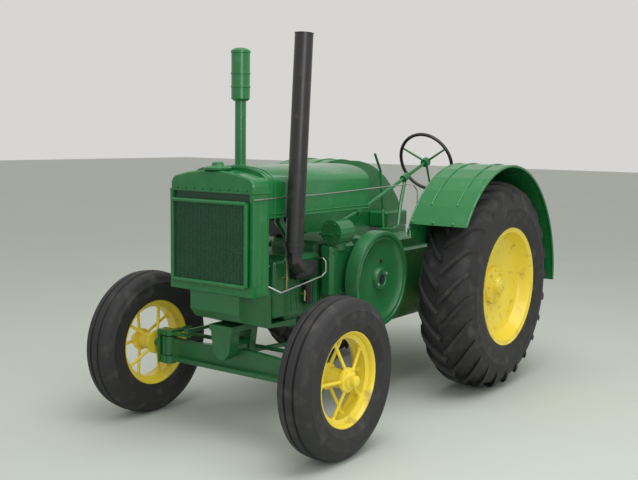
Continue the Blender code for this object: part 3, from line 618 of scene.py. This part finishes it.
@dataclass
class Flywheel:
    """Heavy flywheel with a rim groove, a stepped web and a bored hub, and the belt pulley on the right."""

    rim_depth: float = 0.086
    bolt_circle: float = 0.051
    pulley_inner_face: float = -0.3025

    def build(self) -> None:
        """Turns the wheel, and sets black pieces in the hub bore and the balance hole, painted shade for the
        holes.
        """
        _, high, middle = corners("flywheel")
        rim = high[2] - middle[2]
        place = np.array([high[0] - self.rim_depth, middle[1], middle[2]])
        rows = [(0.0, 0.074), (0.040, 0.074), (0.044, 0.078), (0.060, 0.078), (0.066, 0.070), (0.070, 0.054),
                (0.120, 0.050), (0.205, 0.056), (0.222, 0.066), (0.232, 0.078), (0.242, 0.080),
                (0.246, 0.074), (0.252, 0.074), (0.256, 0.084), (0.270, 0.086), (0.277, 0.082),
                (rim, 0.074), (rim, 0.004), (rim - 0.005, 0.0), (0.245, 0.0), (0.07, 0.02),
                (0.06, -0.015), (0.0, -0.015)]
        wheel = Shells().turned(rows, place, (1, 0, 0), 112)
        wheel.piece("flywheel_turned", CAST, "crankshaft", ("flywheel",))
        # The bore and the hole are not cut: black pieces stand in them as painted shade.
        bore = [(0.0, 0.070), (0.030, 0.070), (0.030, 0.0752), (0.0, 0.0752)]
        hole = [(0.0, 0.03), (0.011, 0.03), (0.011, 0.0575), (0.0, 0.0575)]
        painted_hole_shade = Shells().turned(bore, place, (1, 0, 0), 32)
        painted_hole_shade.turned(hole, place + (0, 0.02, 0.10), (1, 0, 0), 20)
        painted_hole_shade.piece("flywheel_painted_hole_shade", BLACK, "crankshaft")
        bolts = Shells()
        for angle in (0.6, 0.6 + math.pi):
            way = np.array([0.0, math.cos(angle), math.sin(angle)])
            bolts.bolt(place + (0.078, 0, 0) + way * self.bolt_circle, (1, 0, 0), 0.010, 0.008)
        bolts.piece("flywheel_bolts", STEEL, "crankshaft")

    def build_pulley(self) -> None:
        """Turns the belt pulley with a crowned face and a plain web."""
        middle = corners("belt_pulley")[2]
        place = np.array([self.pulley_inner_face, middle[1], middle[2]])
        rows = [(0.0, 0.119), (0.066, 0.119), (0.070, 0.115), (0.080, 0.092), (0.178, 0.090), (0.188, 0.163),
                (0.196, 0.165), (0.203, 0.163), (0.2048, 0.082), (0.203, 0.002), (0.196, 0.0), (0.188, 0.002),
                (0.175, 0.06), (0.08, 0.06), (0.06, -0.055), (0.0, -0.055)]
        pulley = Shells().turned(rows, place, (-1, 0, 0), 96)
        pulley.piece("pulley_turned", CAST, "crankshaft", ("belt_pulley",))


@dataclass
class EngineTrim:
    """Bolts, cover flanges, petcocks and thin rods on the engine."""

    case_face: float = 0.33
    drum_x: float = 0.315
    drum_z: float = 1.087
    drum_bolt_circle: float = 0.055

    def build_bolts(self) -> None:
        """Adds bolts to the governor case, its drum, the cylinder head and the main case."""
        low, high, _ = corners("governor_case")
        bolts = Shells()
        flange = high[2] - 0.075
        bolts.brick((low[0], low[1] - 0.006, flange - 0.01),
                    (self.case_face + 0.003, high[1] + 0.003, flange), 0.002)
        for place in np.linspace(low[1] + 0.02, high[1] - 0.02, 4):
            bolts.bolt((self.case_face, place, 0.745), (1, 0, 0), 0.008, 0.006)
            bolts.bolt((self.case_face, place, 0.975), (1, 0, 0), 0.008, 0.006)
        for angle in circle(6):
            x = self.drum_x + self.drum_bolt_circle * math.cos(angle)
            z = self.drum_z + self.drum_bolt_circle * math.sin(angle)
            bolts.bolt((x, low[1], z), (0, -1, 0), 0.006, 0.005)
        low, high, _ = corners("cylinder_block")
        for x in np.linspace(low[0] + 0.05, high[0] - 0.05, 4):
            for z in (low[2] + 0.045, high[2] - 0.045):
                bolts.bolt((x, low[1], z), (0, -1, 0), 0.011, 0.012)
        low, high, _ = corners("main_case")
        for _, sign in SIDES:
            for y in np.linspace(low[1] + 0.10, high[1] - 0.12, 9):
                for z in (low[2] + 0.06, 0.865):
                    bolts.bolt((sign * high[0], y, z), (sign, 0, 0), 0.009, 0.007)
        bolts.piece("engine_bolts", CAST, "chassis")

    def build_side(self) -> None:
        """Adds the block's upright ribs and the small brass rods and petcocks beside it."""
        low, high, _ = corners("cylinder_block")
        side = high[0]
        ribs = Shells()
        for y in np.linspace(low[1] + 0.13, high[1] - 0.06, 5):
            ribs.rod((side, y, low[2] + 0.05), (side, y, high[2] - 0.05), 0.007, 10)
        ribs.piece("block_ribs", CAST, "chassis")
        front, back = low[1] + 0.05, low[1] + 0.20
        fittings = Shells()
        fittings.rod((side + 0.030, front, 0.80), (side + 0.030, front, 1.13), 0.004)
        fittings.rod((side - 0.005, front, 0.86), (side + 0.034, front, 0.86), 0.006)
        fittings.rod((side - 0.005, back, 0.76), (side + 0.045, back, 0.76), 0.006)
        fittings.rod((side + 0.040, back, 0.72), (side + 0.040, back, 0.78), 0.005)
        fittings.piece("brass_petcocks", BRASS, "chassis")


# ------------------------------------------------------------------ driver's place
@dataclass
class Fenders:
    """Raised ridges, a rolled outer edge and bolts on the two rear fenders."""

    inner: float = 0.464
    outer: float = 0.842
    rear_reach: float = 0.692
    front_rise: float = 0.125
    front_end: float = 148.0
    count: int = 48

    def radius(self, angle: Array) -> Array:
        """Distance of the sheet from the axle: a smooth rise from behind the wheel to ahead of it."""
        part = np.clip(angle / self.front_end, 0.0, 1.0)
        return self.rear_reach + self.front_rise * (6 * part**5 - 15 * part**4 + 10 * part**3)

    def arc(self, x: float, start: float, end: float, drop: float, centre: Array) -> Array:
        """Places on the sheet: centre + (radius(t) - drop) * (cos t, sin t), t in degrees above the rear.

        Args:
            x: distance from the tractor's middle. start: first t. end: last t.
            drop: how far under the sheet's outer face. centre: middle of the tyre.

        Returns:
            The places, in order.
        """
        angle = np.linspace(start, end, self.count)
        reach = self.radius(angle) - drop
        turn = np.radians(angle)
        places = [np.full(self.count, x), centre[1] + reach * np.cos(turn), centre[2] + reach * np.sin(turn)]
        return np.stack(places, axis=-1)

    def build(self) -> None:
        """Sweeps the ridges and the edges of both fenders and adds their bolts."""
        for side, sign in SIDES:
            centre = corners(f"rear_tyre_{side}")[2]
            trim = Shells()
            for x in (0.565, 0.735):
                trim.tube(self.arc(sign * x, 4, 138, 0.001, centre), 0.006, 12)
            trim.tube(self.arc(sign * (self.outer - 0.005), -2.5, 147.5, 0.008, centre), 0.008, 16)
            trim.tube(self.arc(sign * (self.inner + 0.003), 80, 147, 0.004, centre), 0.006, 12)
            turn = math.radians(147)
            for x in (0.48, 0.62, 0.75):
                reach = float(self.radius(np.array(145.0)))
                spot = (sign * x, centre[1] + reach * math.cos(turn), centre[2] + reach * math.sin(turn))
                trim.bolt(spot, (0, math.cos(turn), math.sin(turn)), 0.009, 0.006)
            trim.piece(f"fender_trim_{side}", GREEN, "chassis")


@dataclass
class Controls:
    """Steering wheel on its shaft, and the pan seat."""

    hub: tuple[float, float, float] = (-0.15, 0.51 + 0.60, 1.436)
    joint: tuple[float, float, float] = (-0.19, 0.51 - 0.20, 1.127)
    rim_radius: float = 0.218
    grip_radius: float = 0.0125
    shaft_radius: float = 0.0128

    def build_wheel(self) -> None:
        """Sweeps the rim round the shaft's axis, with three spokes and a nut."""
        hub, end = np.array(self.hub), np.array(self.joint)
        way = unit(hub - end)
        first, second = across(way)
        turn = np.linspace(0.0, math.tau, 72, endpoint=False)[:, None]
        ring = hub + self.rim_radius * (np.cos(turn) * first + np.sin(turn) * second)
        rim = Shells().tube(ring, self.grip_radius, 14, closed=True)
        rim.piece("steering_rim", BLACK, "steering_shaft", ("steering_wheel",))
        arms = Shells().rod(end - way * 0.018, hub, self.shaft_radius, 20)
        boss = [(0.0, -0.03), (0.030, -0.03), (0.034, -0.01), (0.034, 0.010), (0.020, 0.018), (0.014, 0.028),
                (0.0, 0.030)]
        arms.turned(boss, hub, way, 32)
        for angle in circle(3, math.radians(90)):
            out = math.cos(angle) * first + math.sin(angle) * second
            tip = hub + out * (self.rim_radius - 0.004)
            arms.tube(np.linspace(hub, tip, 6), np.linspace(0.009, 0.0065, 6), 14)
        arms.piece("steering_spokes", GREEN, "steering_shaft")

    def build_seat(self) -> None:
        """Turns the dished pan with a rolled rim."""
        low, _, middle = corners("seat")
        rows = [(0.0, 0.0), (0.10, 0.003), (0.155, 0.014), (0.190, 0.036), (0.208, 0.064), (0.214, 0.084),
                (0.2148, 0.087), (0.2125, 0.090), (0.208, 0.086), (0.203, 0.066), (0.185, 0.041),
                (0.152, 0.020), (0.10, 0.009), (0.0, 0.006)]
        shells = Shells().turned(rows, (middle[0], middle[1], low[2]), (0, 0, 1), 72)
        shells.bolt((middle[0], middle[1], low[2] + 0.006), (0, 0, 1), 0.012, 0.006)
        shells.piece("pan_seat", GREEN, "chassis", ("seat",))


# ------------------------------------------------------------------ finishes of the frame's own nodes
CAST_NODES = (
    "main_case", "cylinder_block", "front_support", "front_axle", "governor_case", "steering_gearbox",
    "rear_axle_housing_left", "rear_axle_housing_right", "drag_link", "tie_rod",
)
# The black on the exhaust manifold, carburettor and magneto is painted shade: the dark under the hood is laid
# on them as colour.
NODE_FINISHES: dict[str, Finish] = {
    "radiator_core": DARK, "exhaust_manifold": BLACK, "carburettor": BLACK, "magneto": BLACK,
    "crankshaft": STEEL, "lower_water_pipe": STEEL, "shutter_rod": STEEL, **dict.fromkeys(CAST_NODES, CAST),
}


def dress_frame(nodes: dict[str, bpy.types.Object]) -> None:
    """Gives every frame node that shows its detailed finish.

    Args:
        nodes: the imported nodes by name.
    """
    for name, node in nodes.items():
        finish = NODE_FINISHES.get(name, GREEN)
        node.data.materials.clear()
        node.data.materials.append(finish.material())


# ------------------------------------------------------------------ studio
# Name, place, width in metres and power in watts of each lamp.
LAMPS = (("overhead", (1.5, -1.0, 5.0), 4.0, 170.0), ("side", (5.0, -4.5, 3.0), 3.0, 90.0))
LOOK_AT = (0.0, 0.0, 0.8)


@dataclass(frozen=True)
class Studio:
    """Pale floor, soft lamps and the camera."""

    eye: tuple[float, float, float] = (3.2078, -4.9487, 1.6299)
    yaw: float = 0.6208
    pitch: float = 0.1147
    roll: float = 0.0131
    lens: float = 51.70
    sky_strength: float = 0.85
    floor_reach: float = 40.0
    floor_colour: tuple[float, float, float] = (0.50, 0.54, 0.49)
    sky_colour: tuple[float, float, float] = (0.80, 0.79, 0.77)

    def camera(self) -> None:
        """Stands the camera at the viewing angle."""
        data = bpy.data.cameras.new("camera")
        data.lens, data.sensor_width = self.lens, 36.0
        made = bpy.data.objects.new("camera", data)
        ahead = Vector((-math.sin(self.yaw) * math.cos(self.pitch), math.cos(self.yaw) * math.cos(self.pitch),
                        -math.sin(self.pitch)))
        level = Vector((math.cos(self.yaw), math.sin(self.yaw), 0.0))
        above = level.cross(ahead)
        right = math.cos(self.roll) * level + math.sin(self.roll) * above
        up = -math.sin(self.roll) * level + math.cos(self.roll) * above
        turn = Matrix((right, up, -ahead)).transposed().to_4x4()
        made.matrix_world = Matrix.Translation(self.eye) @ turn
        bpy.context.scene.collection.objects.link(made)
        bpy.context.scene.camera = made

    def lamps(self) -> None:
        """A wide overhead lamp, a weaker one from the camera's left, and an even pale sky."""
        for name, place, size, power in LAMPS:
            data = bpy.data.lights.new(name, "AREA")
            data.size, data.energy = size, power
            lamp = bpy.data.objects.new(name, data)
            lamp.location = place
            lamp.rotation_euler = (Vector(LOOK_AT) - Vector(place)).to_track_quat("-Z", "Y").to_euler()
            bpy.context.scene.collection.objects.link(lamp)
        world = bpy.data.worlds.new("studio")
        world.use_nodes = True
        sky = world.node_tree.nodes["Background"]
        sky.inputs["Color"].default_value = (*self.sky_colour, 1.0)
        sky.inputs["Strength"].default_value = self.sky_strength
        bpy.context.scene.world = world

    def floor(self) -> None:
        """A wide plain floor with a faint unevenness in tone."""
        data = bpy.data.meshes.new("floor")
        reach = self.floor_reach
        around = [(-reach, -reach, 0), (reach, -reach, 0), (reach, reach, 0), (-reach, reach, 0)]
        data.from_pydata(around, [], [(0, 1, 2, 3)])
        tone = self.floor_colour
        darker = tuple(0.98 * part for part in tone)
        finish = Finish("pale_floor", "", Kind.RUBBER, tone, darker, 0.8, 0.3, 1.2, 60.0, 0.02, 0.01)
        data.materials.append(finish.material())
        made = bpy.data.objects.new("floor", data)
        bpy.context.scene.collection.objects.link(made)

    def build(self) -> None:
        """Builds the whole studio and sets the plain view transform."""
        self.camera()
        self.lamps()
        self.floor()
        bpy.context.scene.view_settings.view_transform = "Standard"


def main() -> None:
    """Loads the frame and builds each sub-assembly in order."""
    logging.basicConfig(level=logging.INFO, format="%(message)s")
    for old in list(bpy.data.objects):
        bpy.data.objects.remove(old, do_unlink=True)
    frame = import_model()
    dress_frame(frame["nodes"])
    for side, sign in SIDES:
        rear = RearWheel(side, sign)
        rear.build_tyre()
        rear.build_disc()
        front = FrontWheel(side, sign)
        front.build_tyre()
        front.build_wheel()
    radiator = Radiator()
    radiator.build_screen()
    radiator.build_trim()
    Hood().build()
    stacks = Stacks()
    stacks.build_exhaust()
    stacks.build_intake()
    flywheel = Flywheel()
    flywheel.build()
    flywheel.build_pulley()
    engine = EngineTrim()
    engine.build_bolts()
    engine.build_side()
    Fenders().build()
    controls = Controls()
    controls.build_wheel()
    controls.build_seat()
    Studio().build()


if __name__ == "__main__":
    main()
